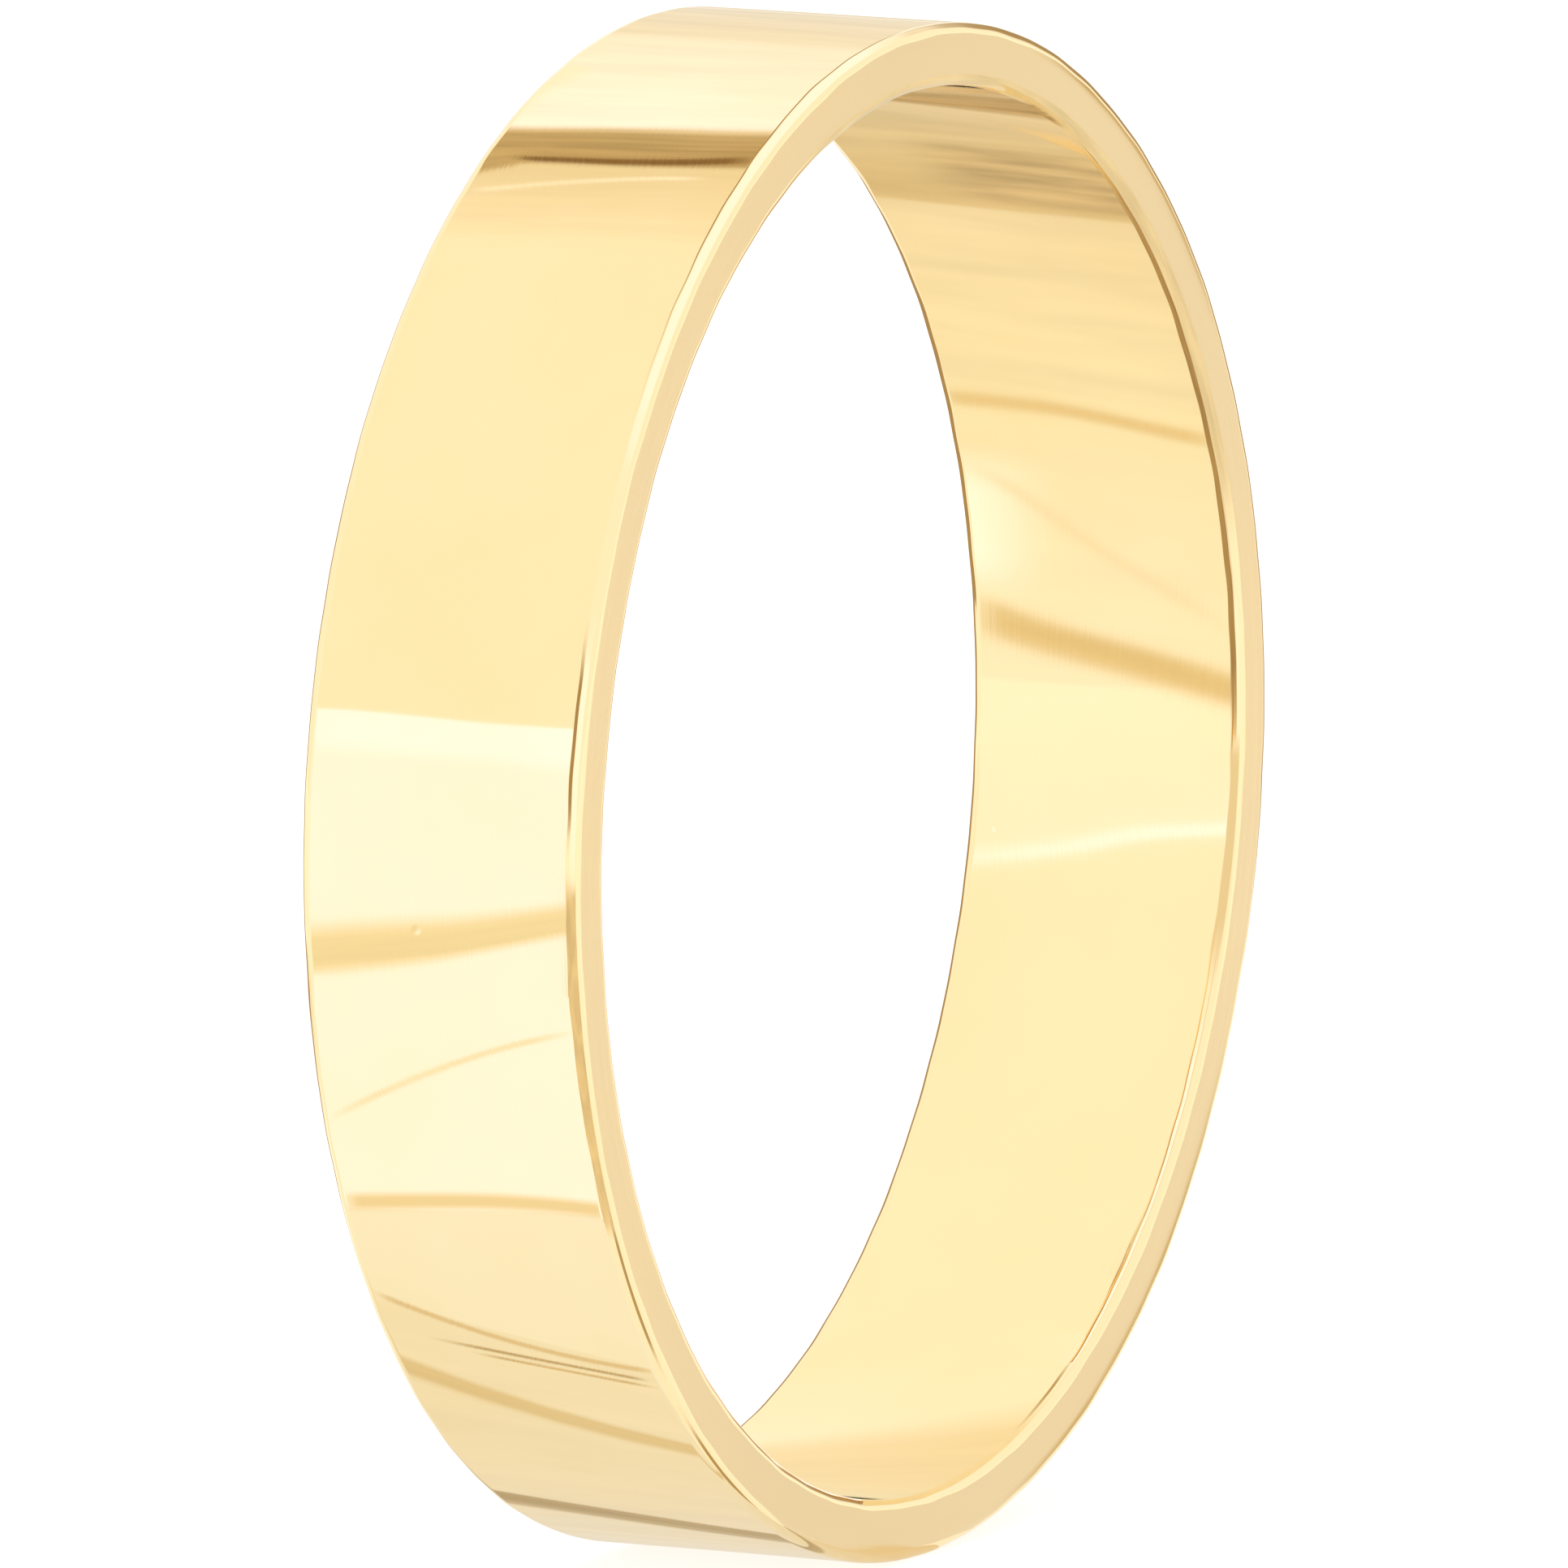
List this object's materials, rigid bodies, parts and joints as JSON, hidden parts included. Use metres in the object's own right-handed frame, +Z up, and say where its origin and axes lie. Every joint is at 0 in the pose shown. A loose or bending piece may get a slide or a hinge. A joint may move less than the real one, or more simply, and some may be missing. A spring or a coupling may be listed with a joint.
{
  "type": "wedding band",
  "caption": "Plain gold finger ring of flat section, flat inside and out, with mirror-polished faces and slightly rounded edges.",
  "frame": {"origin": "centre of the finger bore, halfway across the band's width", "axes": "+Y along the bore's axis, +Z up, so that the band stands on its rim; the part is round about Y"},
  "size_m": [0.0202, 0.004, 0.0202],
  "materials": {
    "gold": "mirror-polished pale yellow gold, with very fine polishing lines around the band"
  },
  "bodies": {
    "root": {"band": "gold"}
  },
  "joints": []
}
